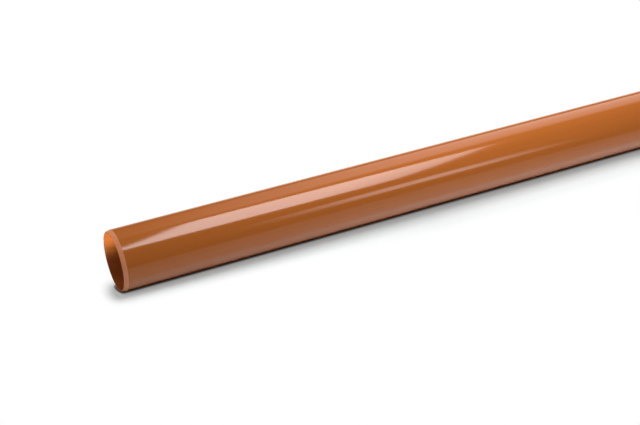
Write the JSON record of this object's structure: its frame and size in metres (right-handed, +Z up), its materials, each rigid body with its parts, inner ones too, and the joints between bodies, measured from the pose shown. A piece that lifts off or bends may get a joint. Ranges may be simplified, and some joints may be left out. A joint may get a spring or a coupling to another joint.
{
  "type": "plastic drain pipe",
  "caption": "Straight round terracotta plastic drain pipe lying on its side, with a thin even wall, a smooth full-length bore and square-cut plain ends chamfered outside to enter a socket.",
  "frame": {"origin": "on the axis of the bore, at mid-length", "axes": "+X along the bore and +Z up, with the pipe lying on its side; its lowest line is at Z = -0.055 m, and both ends are alike"},
  "size_m": [3, 0.11, 0.1096],
  "materials": {
    "terracotta_plastic": "gloss, as extruded"
  },
  "bodies": {
    "root": {"drain_pipe": "terracotta_plastic"}
  },
  "joints": []
}
